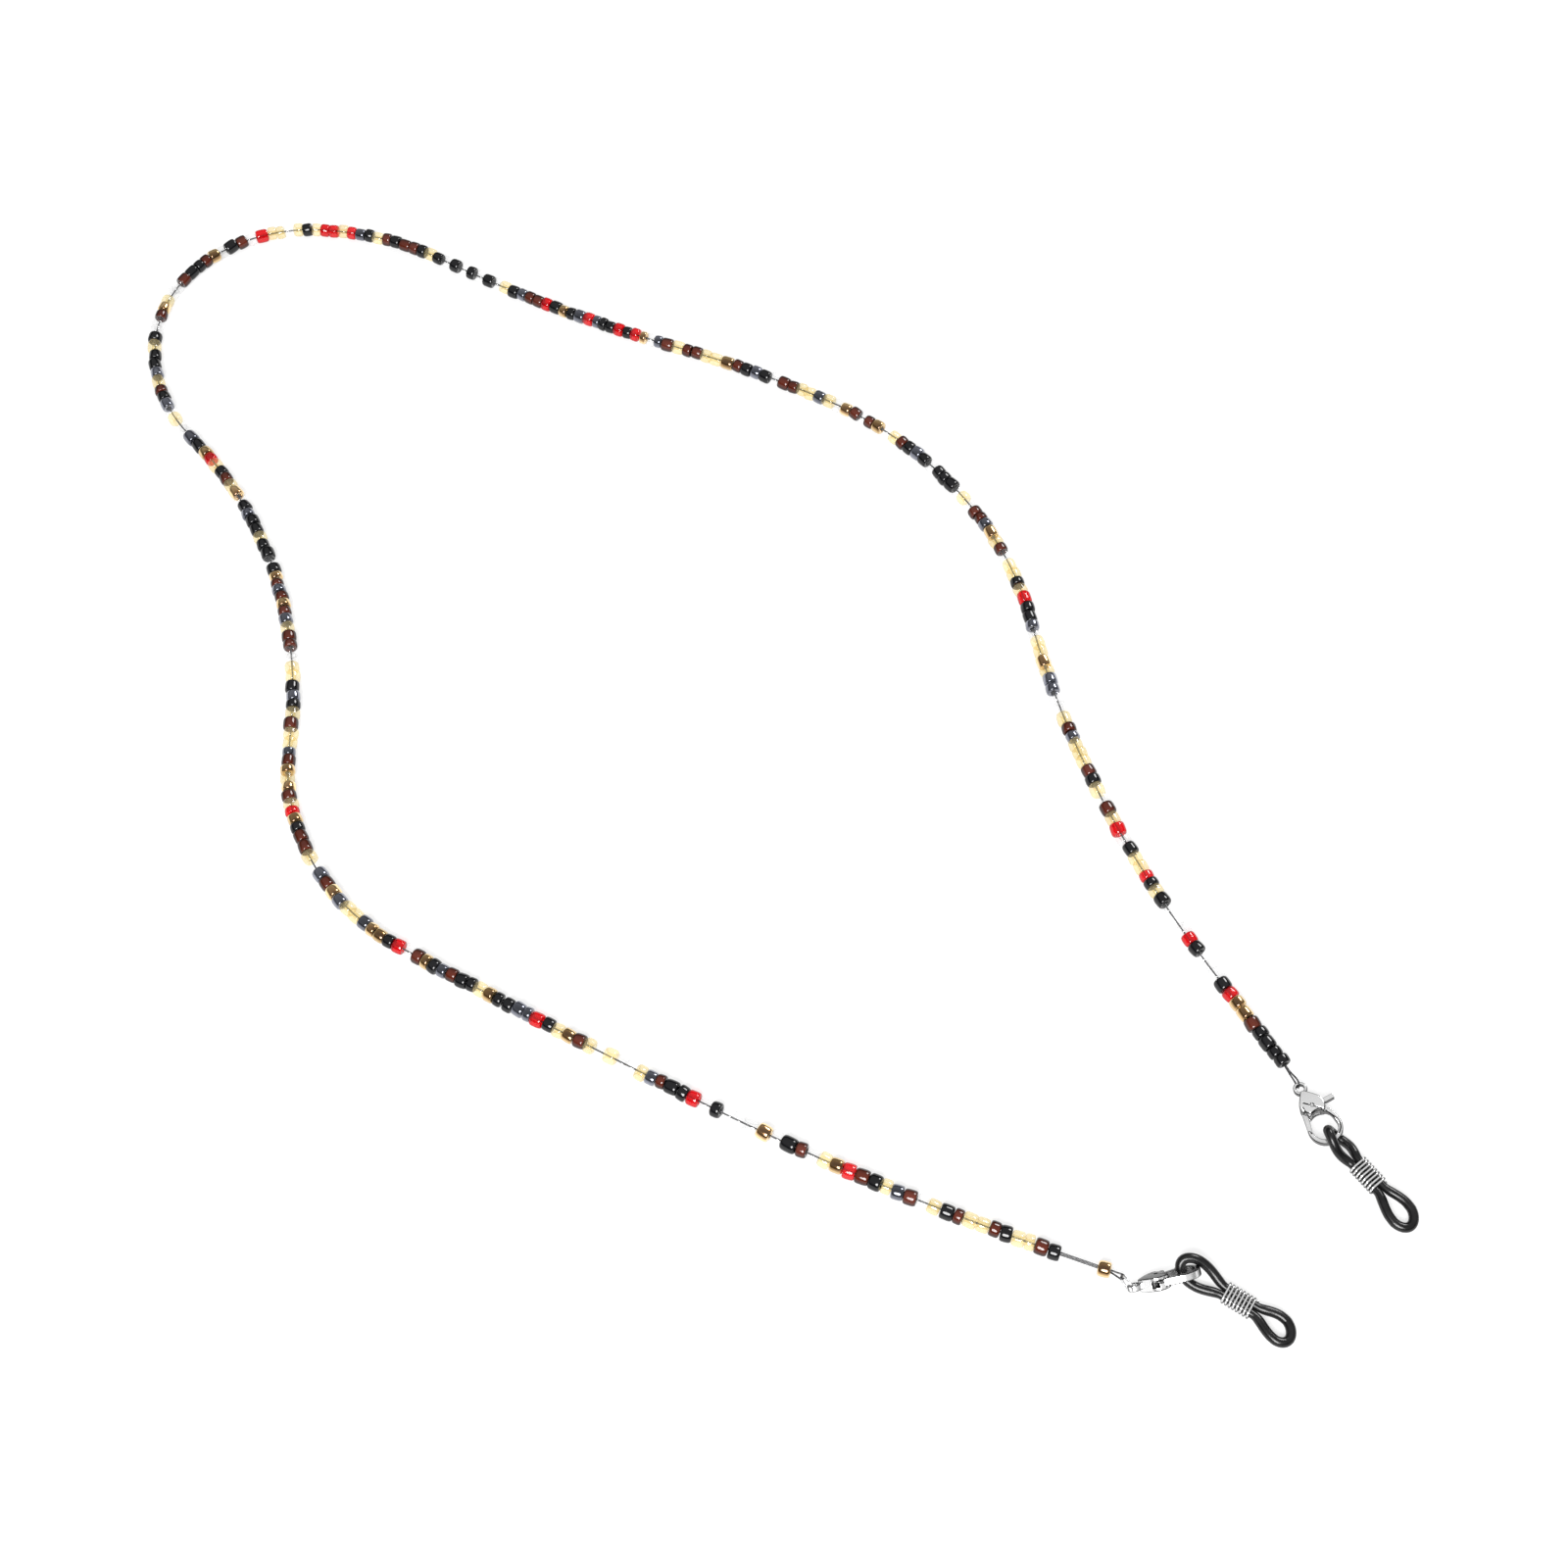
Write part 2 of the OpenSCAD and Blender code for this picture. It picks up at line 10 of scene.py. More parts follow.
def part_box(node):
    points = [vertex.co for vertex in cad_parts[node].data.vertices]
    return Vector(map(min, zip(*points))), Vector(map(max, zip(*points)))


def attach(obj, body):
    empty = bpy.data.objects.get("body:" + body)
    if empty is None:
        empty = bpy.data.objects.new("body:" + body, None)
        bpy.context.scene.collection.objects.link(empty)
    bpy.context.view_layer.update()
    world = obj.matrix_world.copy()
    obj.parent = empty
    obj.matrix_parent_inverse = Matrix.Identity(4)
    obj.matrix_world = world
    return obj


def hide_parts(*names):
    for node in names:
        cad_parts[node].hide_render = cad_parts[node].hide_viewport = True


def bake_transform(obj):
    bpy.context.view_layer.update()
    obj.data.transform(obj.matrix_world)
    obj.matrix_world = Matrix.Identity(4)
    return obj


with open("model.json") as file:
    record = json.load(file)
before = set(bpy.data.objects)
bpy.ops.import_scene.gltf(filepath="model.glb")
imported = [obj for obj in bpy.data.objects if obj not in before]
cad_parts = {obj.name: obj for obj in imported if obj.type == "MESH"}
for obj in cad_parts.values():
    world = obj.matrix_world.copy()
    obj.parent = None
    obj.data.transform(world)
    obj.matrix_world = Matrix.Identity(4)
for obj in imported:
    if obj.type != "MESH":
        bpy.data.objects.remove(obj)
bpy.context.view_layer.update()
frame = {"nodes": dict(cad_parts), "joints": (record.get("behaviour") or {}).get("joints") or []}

MM = 0.001
LENGTHS = ["right_lower", "right_upper", "neck", "left_upper", "left_lower"]
ENDS = ["right", "left"]
FLEXES = ["right_side_flex", "right_shoulder_flex", "left_shoulder_flex", "left_side_flex"]
WELD = 0.0005                  # mm; corners of a CAD mesh nearer than this are one corner

# ---- Beads ----
BEAD_HOLE = 0.52 * MM          # radius of the hole
HOLE_RIM = 0.1 * MM            # how far from the nearest corner a hole's rim still reaches
BEAD_AROUND = 40               # points round a bead
BEAD_SECTION = 26              # points round the cut through a bead's wall
BEAD_SQUARENESS = 3.2          # 2 is an ellipse, more is boxier
BEAD_TILT = math.radians(7)    # most that a bead leans on the wire
BEAD_SHIFT = 0.16 * MM         # most that a bead sits off the wire
BEAD_OVAL = 0.012              # how far a bead is from round
GLASS_SHINE = [(0.0, 0.04), (0.5, 0.06), (0.8, 0.2), (1.0, 0.8)]   # share reflected, by turn from the eye

# ---- Wire, cord and coils ----
WIRE_RADIUS = 0.175 * MM
COIL_RADIUS = 0.225 * MM
SPRING_RADIUS = 0.08 * MM
RING_WIRE_RADIUS = 0.225 * MM
RING_GAP = math.radians(3)     # half the butt joint's gap, and where it sits round the ring
RING_GAP_AT = math.radians(80)
CORD_SIDES = 12                # sides of the CAD cord, by which its two legs are told apart
END_REACH = 2.05               # across an end ring of the CAD's wires, in radii
SMOOTHING = 3                  # steps that a smoothed line takes between two rings of the CAD
ANY_SIDE = (0.31, 0.17, 0.93)  # a direction that no tube starts along
DOME_LIMIT = 0.97              # how far towards its pole a tube's domed end is drawn
WIRE_STRANDS = 6
WIRE_AROUND = 12               # points round the drawn wire, cord, coil, lever spring and ring
CORD_AROUND = 28
COIL_AROUND = 16
SPRING_AROUND = 10
RING_AROUND = 20
RING_POINTS = 97
LEG_SLICE = 0.2 * MM           # half the slice across a loop's middle that holds one ring of each leg

# ---- Clasps, in millimetres in the clasp's own frame ----
BODY_CASTING = {"voxel": 0.05, "inflate": 0.05, "rounds": 14}
LEVER_CASTING = {"voxel": 0.04, "inflate": 0.02, "rounds": 6}
CLASP_PIVOT = (4.2, 0.45)      # along and across from the eye
HOOK_TURN = {"right": math.radians(18), "left": 0.0}
CREASES = [                    # along and across from the eye
    [(3.2, -0.85), (4.0, 0.05), (4.9, 1.1), (5.8, 2.15), (7.1, 2.9), (8.4, 3.5), (9.9, 3.4), (11.0, 2.55)],
    [(3.9, -1.3), (4.9, -1.2), (5.6, -0.5), (5.4, 0.4), (5.4, 1.4), (6.2, 2.0)],
]
CREASE_STEPS = 4
CREASE_WIDTH = 0.16
CREASE_DEPTH = 0.1
DOME_RADIUS = 3.2
DOME_RISE = 0.3
BULB_END = 5.9                 # from the eye; the bulb's and the hook's faces lie above these heights
BULB_FACE = 0.75
HOOK_FACE = 0.3
FACE_RIM = 0.2                 # height over which a face's own shaping comes in
FACE_TILT = 0.97               # between a face and a wall, by the normal's part along the pin, is an edge
WALL_TILT = 0.15
FACE_FADE = 0.05
WALL_FADE = 0.1
# share of painted dark reflection on the silver's rounded edges
EDGE_DARKNESS = 0.7
SILVER_METALLIC = 0.8          # the rest is the soft white of fine polishing marks
EASED_EDGE = 0.04 * MM         # metres, as it is for parts that stay in the CAD's frame

# ---- Camera and light ----
CAMERA_AT = (16.53 * MM, -262.09 * MM, 385.98 * MM)
CAMERA_LOOKS_AT = (16.53 * MM, -19.96 * MM, 0.0)
CAMERA_LENS = 51.5
CAMERA_SENSOR = 36.0
CAMERA_NEAREST = 0.01
FLOOR_HALF = 2.0
FLOOR_GLOW = 0.65
SKY = [(0.10, 0.9), (0.17, 0.05), (0.45, 0.05), (0.62, 0.45), (1.0, 0.5)]   # height of a direction, its tone
BACKDROP = 0.95
LAMPS_LOOK_AT = (0.02, -0.02, 0)
LAMPS = [                      # name, place, width in metres, watts
    ("key_light", (-0.15, -0.75, 0.75), 0.55, 16.0),
    ("back_light", (0.6, 0.75, 0.8), 0.45, 8.0),
]

rng = np.random.RandomState(5)


# ---------------------------------------------------------------- meshes

def new_piece(name, points, faces, uvs=None):
    """A smooth-shaded mesh object. uvs holds one pair for each corner of each face."""
    mesh = bpy.data.meshes.new(name)
    mesh.from_pydata([tuple(p) for p in points], [], faces)
    mesh.validate()
    mesh.polygons.foreach_set("use_smooth", [True] * len(mesh.polygons))
    if uvs is not None:
        layer = mesh.uv_layers.new(name="UVMap")
        layer.data.foreach_set("uv", np.asarray(uvs, np.float32).ravel())
    mesh.update()
    piece = bpy.data.objects.new(name, mesh)
    bpy.context.scene.collection.objects.link(piece)
    return piece


def welded(node):
    """The corners of a CAD node, joined where the file doubles them, and each corner's neighbours."""
    work = bmesh.new()
    work.from_mesh(frame["nodes"][node].data)
    bmesh.ops.remove_doubles(work, verts=work.verts, dist=WELD * MM)
    work.verts.index_update()
    points = np.array([v.co for v in work.verts], float)
    near = [[e.other_vert(v).index for e in v.link_edges] for v in work.verts]
    work.free()
    return points, near


def islands(near):
    """Groups of corners that hang together."""
    group = [-1] * len(near)
    found = []
    for start in range(len(near)):
        if group[start] >= 0:
            continue
        group[start] = len(found)
        members = [start]
        for v in members:
            for w in near[v]:
                if group[w] < 0:
                    group[w] = len(found)
                    members.append(w)
        found.append(members)
    return found


def layers_from(near, first, blocked=()):
    """Corners in layers, each one edge further from the first ring."""
    seen = set(first) | set(blocked)
    layers = [list(first)]
    while True:
        fresh = sorted({w for v in layers[-1] for w in near[v]} - seen)
        if not fresh:
            return layers
        seen |= set(fresh)
        layers.append(fresh)


def open_middle_line(node, radius):
    """The middle line of a CAD tube with two ends, as ring centres from one end to the other. The end
    ring is what hangs together within the tube's width round the corner furthest from corner 0."""
    points, near = welded(node)
    last = layers_from(near, [0])[-1][0]
    in_reach = np.linalg.norm(points - points[last], axis=1) < END_REACH * radius
    end_ring = [last]
    for v in end_ring:
        end_ring += [w for w in near[v] if in_reach[w] and w not in end_ring]
    return np.array([points[ring].mean(0) for ring in layers_from(near, end_ring)])


def smooth_line(points, steps):
    """A smooth run through points (Catmull-Rom), with some steps between each two."""
    last = len(points) - 1
    out = []
    for i in range(last):
        a, b, c, d = (points[min(max(i + k, 0), last)] for k in (-1, 0, 1, 2))
        for k in range(steps):
            t = k / steps
            out.append(b + 0.5 * t * (c - a) + t * t * (a - 2.5 * b + 2 * c - 0.5 * d)
                       + t ** 3 * (1.5 * (b - c) + 0.5 * (d - a)))
    out.append(points[-1])
    return np.array(out)


def unit(v):
    return v / np.linalg.norm(v)


def tube(name, line, radius, sides, rounded=False):
    """A closed round tube along a line, with its frame carried along so that it doesn't twist; radius is
    one value, or one for each point. Its UV runs once round and once a millimetre along. rounded draws
    its ends in to domes."""
    ways = np.gradient(line, axis=0)
    ways /= np.linalg.norm(ways, axis=1)[:, None]
    gone = np.concatenate([[0], np.cumsum(np.linalg.norm(np.diff(line, axis=0), axis=1))])
    widths = np.ones(len(line)) * radius
    if rounded:
        to_end = np.minimum(gone, gone[-1] - gone) / radius
        widths *= np.sqrt(1 - np.clip(1 - to_end, 0, DOME_LIMIT) ** 2)
    side = unit(np.cross(ways[0], ANY_SIDE))
    points = []
    for at, way, width in zip(line, ways, widths):
        side = unit(side - way * side.dot(way))
        up = np.cross(way, side)
        for k in range(sides):
            a = 2 * math.pi * k / sides
            points.append(at + width * (side * math.cos(a) + up * math.sin(a)))
    faces, uvs = [], []
    for i in range(len(line) - 1):
        for k in range(sides):
            m = (k + 1) % sides
            faces.append((i * sides + k, i * sides + m, (i + 1) * sides + m, (i + 1) * sides + k))
            u0, u1, v0, v1 = k / sides, (k + 1) / sides, gone[i] / MM, gone[i + 1] / MM
            uvs += [(u0, v0), (u1, v0), (u1, v1), (u0, v1)]
    last = (len(line) - 1) * sides
    faces.append(tuple(range(sides - 1, -1, -1)))
    faces.append(tuple(range(last, last + sides)))
    uvs += [(0.5, 0)] * sides + [(0.5, gone[-1] / MM)] * sides
    piece = new_piece(name, points, faces, uvs)
    sharpen_caps(piece)
    return piece


def sharpen_caps(piece):
    """Keeps a tube's flat ends flat: the two end faces are the last two."""
    mesh = piece.data
    caps = [mesh.polygons[-1], mesh.polygons[-2]]
    rims = {frozenset(key) for cap in caps for key in cap.edge_keys}
    for cap in caps:
        cap.use_smooth = False
    for edge in mesh.edges:
        if frozenset(edge.vertices) in rims:
            edge.use_edge_sharp = True


# ---------------------------------------------------------------- materials

def start_material(name):
    made = bpy.data.materials.new(name)
    made.use_nodes = True
    made.node_tree.nodes.clear()
    return made, made.node_tree


def add(tree, kind, settings=None, **inputs):
    """A shader node with its inputs set: a value, or another node's output to link from. An input's
    name is written with _ for a space, or in0, in1 and so on for an input by its number."""
    node = tree.nodes.new(kind)
    for key, value in (settings or {}).items():
        setattr(node, key, value)
    for key, value in inputs.items():
        socket = node.inputs[int(key[2:]) if key.startswith("in") else key.replace("_", " ")]
        if isinstance(value, bpy.types.NodeSocket):
            tree.links.new(value, socket)
        else:
            socket.default_value = value
    return node


def finish_material(made, tree, surface):
    add(tree, "ShaderNodeOutputMaterial", Surface=surface)
    return made


def place_noise(tree, scale, detail=3.0, roughness=0.5):
    """Noise fixed to the object; scale is in features a metre."""
    where = add(tree, "ShaderNodeTexCoord")
    return add(tree, "ShaderNodeTexNoise", Vector=where.outputs["Object"], Scale=scale, Detail=detail,
               Roughness=roughness)


def spread(tree, value, low, high):
    """A 0 to 1 value mapped to low to high."""
    return add(tree, "ShaderNodeMapRange", Value=value, To_Min=low, To_Max=high).outputs["Result"]


def bumped(tree, height, depth):
    return add(tree, "ShaderNodeBump", Strength=1.0, Distance=depth, Height=height).outputs["Normal"]


def ramp(tree, value, stops):
    """A colour that runs through the stops (value, colour); a colour may be one grey tone."""
    node = add(tree, "ShaderNodeValToRGB", Fac=value)
    while len(node.color_ramp.elements) < len(stops):
        node.color_ramp.elements.new(0.5)
    for element, (position, colour) in zip(node.color_ramp.elements, stops):
        element.position = position
        element.color = (*(colour if isinstance(colour, tuple) else (colour,) * 3), 1)
    return node.outputs["Color"]


def by_facing(tree, stops):
    """A colour that changes from where the surface faces the eye (0) to where it turns away (1)."""
    return ramp(tree, add(tree, "ShaderNodeLayerWeight", Blend=0.5).outputs["Facing"], stops)


def mixed(tree, blend, share, one, other):
    """A colour mix node; its inputs 6 and 7 and its output 2 are the ones that carry colours."""
    return add(tree, "ShaderNodeMix", {"data_type": "RGBA", "blend_type": blend}, in0=share, in6=one,
               in7=other).outputs[2]


def each_its_own(tree, colour, amount):
    """A colour whose brightness differs a little from bead to bead."""
    each = add(tree, "ShaderNodeNewGeometry").outputs["Random Per Island"]
    return add(tree, "ShaderNodeHueSaturation", Value=spread(tree, each, 1 - amount, 1 + amount),
               Saturation=spread(tree, each, 1.05, 0.95), Color=colour).outputs["Color"]


def opaque_glass(name, stops, roughness, metal=0.0, amount=0.2):
    """Glass too dark or too lustrous to see into: fire-polished and a little uneven. Its colour runs by
    facing through the stops, which paint shade and reflection across it.
    """
    made, tree = start_material(name)
    noise = place_noise(tree, 700.0)
    colour = each_its_own(tree, by_facing(tree, stops), amount)
    surface = add(tree, "ShaderNodeBsdfPrincipled", Base_Color=colour,
                  Roughness=spread(tree, noise.outputs["Fac"], roughness * 0.7, roughness * 1.4),
                  Normal=bumped(tree, noise.outputs["Fac"], 0.03 * MM), IOR=1.47, Metallic=metal)
    if metal:
        surface.inputs["Coat Weight"].default_value = 1.0
        surface.inputs["Coat Roughness"].default_value = 0.03
    return finish_material(made, tree, surface.outputs[0])


def clear_glass(name, passing, body, milkiness):
    """Transparent glass. passing tints what is seen straight through it, by facing, and its darker stops
    towards the rim paint shade there; body is the colour of the light that scatters inside, and milkiness its
    share."""
    made, tree = start_material(name)
    noise = place_noise(tree, 600.0)
    bump = bumped(tree, noise.outputs["Fac"], 0.02 * MM)
    # painted shade: what is seen through darkens towards the rim
    through = add(tree, "ShaderNodeBsdfTransparent", Color=each_its_own(tree, by_facing(tree, passing), 0.03))
    inner = each_its_own(tree, (*body, 1), 0.06)
    near_side = add(tree, "ShaderNodeBsdfDiffuse", Color=inner, Normal=bump)
    far_side = add(tree, "ShaderNodeBsdfTranslucent", Color=inner, Normal=bump)
    scattered = add(tree, "ShaderNodeMixShader", in0=0.5, in1=near_side.outputs[0], in2=far_side.outputs[0])
    inside = add(tree, "ShaderNodeMixShader", in0=milkiness, in1=through.outputs[0], in2=scattered.outputs[0])
    shine = add(tree, "ShaderNodeBsdfGlossy", Color=(1, 1, 1, 1), Roughness=0.05, Normal=bump)
    backs = add(tree, "ShaderNodeNewGeometry").outputs["Backfacing"]
    fronts = ramp(tree, backs, [(0.0, 1.0), (1.0, 0.0)])
    share = mixed(tree, "MULTIPLY", 1.0, by_facing(tree, GLASS_SHINE), fronts)
    surface = add(tree, "ShaderNodeMixShader", in0=share, in1=inside.outputs[0], in2=shine.outputs[0])
    return finish_material(made, tree, surface.outputs[0])


def polished_metal(name, colour, roughness, painted_rim_shade):
    """Silver plate: bright, with fine rubbed scratches, painted shade in its creases and a painted dark
    reflection on its rounded edges, and painted shade where it turns away from the eye."""
    made, tree = start_material(name)
    cloud = place_noise(tree, 450.0)
    scratch = place_noise(tree, 2600.0, 6.0, 0.7)
    crease = add(tree, "ShaderNodeAttribute", {"attribute_name": "crease"}).outputs["Fac"]
    # painted shade: dark in grooves and on rounded edges, by the crease attribute
    painted_groove_and_edge_shade = ramp(tree, crease, [(0.15, 1.0), (0.5, 0.02)])
    # painted shade where the surface turns away from the eye, times the painted shade in grooves and on edges
    shade = mixed(tree, "MULTIPLY", 1.0, by_facing(tree, painted_rim_shade), painted_groove_and_edge_shade)
    plate = mixed(tree, "MULTIPLY", 1.0, (*colour, 1), shade)
    surface = add(tree, "ShaderNodeBsdfPrincipled", Base_Color=plate,
                  Metallic=SILVER_METALLIC, Normal=bumped(tree, scratch.outputs["Fac"], 0.004 * MM),
                  Roughness=spread(tree, cloud.outputs["Fac"], roughness * 0.6, roughness * 1.6))
    return finish_material(made, tree, surface.outputs[0])


def twisted_wire(name, colour):
    """Fine stranded steel: a spiral of valleys between strands, along the tube's UV, with painted shade in
    them.
    """
    made, tree = start_material(name)
    uv = add(tree, "ShaderNodeTexCoord").outputs["UV"]
    parts = add(tree, "ShaderNodeSeparateXYZ", Vector=uv)
    lay = add(tree, "ShaderNodeMath", {"operation": "MULTIPLY_ADD"}, in0=parts.outputs["X"],
              in1=WIRE_STRANDS, in2=parts.outputs["Y"])
    turn = add(tree, "ShaderNodeMath", {"operation": "MULTIPLY"}, in0=lay.outputs[0], in1=2 * math.pi)
    wave = add(tree, "ShaderNodeMath", {"operation": "SINE"}, in0=turn.outputs[0])
    height = add(tree, "ShaderNodeMapRange", Value=wave.outputs[0], From_Min=-1.0).outputs["Result"]
    # painted shade in the valleys between strands
    painted_valley_shade = (*[part * 0.35 for part in colour], 1)
    shade = mixed(tree, "MIX", height, painted_valley_shade, (*colour, 1))
    surface = add(tree, "ShaderNodeBsdfPrincipled", Base_Color=shade, Metallic=0.7, Roughness=0.35,
                  Normal=bumped(tree, height, 0.03 * MM), Coat_Weight=0.5, Coat_Roughness=0.1)
    return finish_material(made, tree, surface.outputs[0])


def black_rubber(name):
    """Smooth silicone cord with a soft shine, faint dust and slightly uneven skin."""
    made, tree = start_material(name)
    skin = place_noise(tree, 1500.0, 5.0, 0.6)
    dust = place_noise(tree, 350.0, 4.0)
    grey = ramp(tree, dust.outputs["Fac"], [(0.35, (0.003, 0.003, 0.0032)), (0.8, (0.012, 0.0115, 0.012))])
    surface = add(tree, "ShaderNodeBsdfPrincipled", Base_Color=grey,
                  Roughness=spread(tree, dust.outputs["Fac"], 0.18, 0.3), IOR=1.42,
                  Normal=bumped(tree, skin.outputs["Fac"], 0.012 * MM))
    return finish_material(made, tree, surface.outputs[0])


def pale_floor(name):
    """A light table: it glows, so that the shadows on it stay faint."""
    made, tree = start_material(name)
    grain = place_noise(tree, 60.0, 4.0)
    tone = spread(tree, grain.outputs["Fac"], 0.34, 0.36)
    colour = add(tree, "ShaderNodeCombineColor", Red=tone, Green=tone, Blue=tone)
    surface = add(tree, "ShaderNodeBsdfPrincipled", Base_Color=colour.outputs[0], Roughness=0.8,
                  Specular_IOR_Level=0.1, Emission_Color=(1, 1, 1, 1), Emission_Strength=FLOOR_GLOW)
    return finish_material(made, tree, surface.outputs[0])


GLASSES = {
    # black and brown: painted shade darkens the rim
    "black": opaque_glass("black_glass", [(0.0, (0.004, 0.004, 0.005)), (1.0, (0.002, 0.002, 0.002))], 0.07),
    "brown": opaque_glass("brown_glass", [(0.0, (0.09, 0.015, 0.007)), (0.3, (0.05, 0.009, 0.004)),
                                          (0.6, (0.008, 0.002, 0.0015))], 0.08),
    # gold: a painted dark reflection in the middle, a painted bright band of reflected light, and painted
    # shade at the rim
    "gold": opaque_glass("gold_glass", [(0.0, (0.10, 0.045, 0.012)), (0.2, (0.30, 0.16, 0.05)),
                                        (0.5, (0.90, 0.66, 0.32)), (0.9, (0.30, 0.16, 0.06))],
                         0.12, metal=0.85, amount=0.3),
    # red and champagne deepen towards the rim, for thicker glass and painted shade; clear only greys there,
    # as painted shade
    "red": clear_glass("red_glass", [(0.0, (0.97, 0.12, 0.14)), (0.5, (0.9, 0.05, 0.06)),
                                     (0.9, (0.3, 0.005, 0.01))], (0.78, 0.008, 0.02), 0.3),
    "clear": clear_glass("clear_glass", [(0.0, 1.0), (0.6, 0.98), (0.85, 0.9), (1.0, 0.6)],
                         (0.95, 0.96, 0.97), 0.03),
    "champagne": clear_glass("champagne_glass", [(0.0, (0.99, 0.95, 0.81)), (0.6, (0.98, 0.92, 0.74)),
                                                 (1.0, (0.75, 0.60, 0.35))], (0.98, 0.86, 0.55), 0.12),
    # gunmetal: a painted dark reflection in the middle, a painted paler band of reflected light, and painted
    # shade at the rim
    "gunmetal": opaque_glass("gunmetal_glass", [(0.0, (0.03, 0.033, 0.045)), (0.5, (0.20, 0.21, 0.26)),
                                                (0.9, (0.05, 0.05, 0.06))], 0.1, metal=0.8, amount=0.3),
}
# the last stops paint shade on silver and coil steel where they turn away from the eye
SILVER = polished_metal("silver_plate", (0.95, 0.95, 0.95), 0.14, [(0.3, 1.0), (0.48, 0.2), (0.75, 0.01)])
COIL_STEEL = polished_metal("coil_steel", (0.95, 0.95, 0.95), 0.12, [(0.2, 1.0), (0.45, 0.25), (0.75, 0.01)])
WIRE = twisted_wire("beading_wire", (0.06, 0.06, 0.063))
RUBBER = black_rubber("black_rubber")


def dress(piece, finish):
    piece.data.materials.clear()
    piece.data.materials.append(finish)
    return piece


# ---------------------------------------------------------------- beads

def bead_place(points):
    """Centre, axis, half length and radius of one CAD bead. The corners nearest its centre are the
    rims of its hole, and they spread most along the bead's axis."""
    centre = points.mean(0)
    reach = np.linalg.norm(points - centre, axis=1)
    rims = points[reach < reach.min() + HOLE_RIM]
    axis = np.linalg.eigh(np.cov((rims - rims.mean(0)).T))[1][:, 2]
    along = (points - centre) @ axis
    centre = centre + axis * (along.max() + along.min()) / 2
    half = (along.max() - along.min()) / 2
    out = points - centre
    radius = np.linalg.norm(out - np.outer(out @ axis, axis), axis=1).max()
    return centre, axis, half, radius


def rounded_section(half, inner, outer):
    """The cut through one side of a bead's wall, [along, out]: a soft-cornered block."""
    turns = np.linspace(0, 2 * math.pi, BEAD_SECTION, endpoint=False)
    power = 2 / BEAD_SQUARENESS
    along = half * np.sign(np.cos(turns)) * np.abs(np.cos(turns)) ** power
    middle, reach = (inner + outer) / 2, (outer - inner) / 2
    out = middle + reach * np.sign(np.sin(turns)) * np.abs(np.sin(turns)) ** power
    return np.stack([along, out], 1)


def bead_mesh(centre, axis, half, radius):
    """Corners of a bead that leans and sits off the wire a little, as strung beads do."""
    lean = rng.uniform(-BEAD_TILT, BEAD_TILT, 3)
    turn = np.array(Matrix.Rotation(lean[2], 3, "Z") @ Matrix.Rotation(lean[1], 3, "Y")
                    @ Matrix.Rotation(lean[0], 3, "X"))
    axis = turn @ axis
    side = unit(np.cross(axis, [0.0, 0.0, 1.0]))
    up = np.cross(side, axis)
    centre = centre + side * rng.uniform(-BEAD_SHIFT, BEAD_SHIFT)
    phase = rng.uniform(0, math.pi)
    section = rounded_section(half, BEAD_HOLE, radius)
    points = []
    for k in range(BEAD_AROUND):
        a = 2 * math.pi * k / BEAD_AROUND
        way = side * math.cos(a) + up * math.sin(a)
        oval = 1 - BEAD_OVAL * (1 + math.cos(2 * (a + phase)))
        points += [centre + axis * x + way * r * oval for x, r in section]
    return points


def bead_faces(first):
    faces = []
    for k in range(BEAD_AROUND):
        m = (k + 1) % BEAD_AROUND
        for i in range(BEAD_SECTION):
            j = (i + 1) % BEAD_SECTION
            faces.append(tuple(first + n for n in (k * BEAD_SECTION + i, m * BEAD_SECTION + i,
                                                   m * BEAD_SECTION + j, k * BEAD_SECTION + j)))
    return faces


def string_beads(length, glass):
    """Every bead of one glass in one length of the strand."""
    node = f"{length}_{glass}_beads"
    corners, near = welded(node)
    points, faces = [], []
    for members in islands(near):
        faces += bead_faces(len(points))
        points += bead_mesh(*bead_place(corners[members]))
    piece = new_piece(f"{node}_glass", points, faces)
    dress(piece, GLASSES[glass])
    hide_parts(node)
    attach(piece, length)


for length in LENGTHS:
    for glass in GLASSES:
        string_beads(length, glass)


# ---------------------------------------------------------------- beading wire

def joint(name):
    return next(j for j in frame["joints"] if j["name"] == name)


def nearer_start(line, place):
    """The line, turned round if its last point is the nearer one to the place."""
    to_start, to_end = (np.linalg.norm(line[i] - place) for i in (0, -1))
    return line if to_start <= to_end else line[::-1]


def wire_lines():
    """The five wires' middle lines, each running from the right end of the chain to the left."""
    lines = [open_middle_line(f"{length}_wire", WIRE_RADIUS) for length in LENGTHS]
    lines[1] = nearer_start(lines[1], lines[0][-1])
    lines[0] = nearer_start(lines[0], lines[1][0])[::-1]
    for i in range(2, len(lines)):
        lines[i] = nearer_start(lines[i], lines[i - 1][-1])
    return lines


def lay_wire():
    """One wire in four pieces, each running through one flex joint."""
    lines = [smooth_line(line, SMOOTHING) for line in wire_lines()]
    middles = [len(line) // 2 for line in lines]
    for i, flex in enumerate(FLEXES):
        before = lines[i] if i == 0 else lines[i][middles[i]:]
        after = lines[i + 1] if i == len(FLEXES) - 1 else lines[i + 1][:middles[i + 1] + 1]
        piece = tube(f"beading_wire_{i + 1}", np.concatenate([before, after]), WIRE_RADIUS, WIRE_AROUND)
        dress(piece, WIRE)
        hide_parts(f"{LENGTHS[i]}_wire", f"{LENGTHS[i + 1]}_wire")
        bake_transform(piece)


lay_wire()


# ---------------------------------------------------------------- temple loops and coil grips

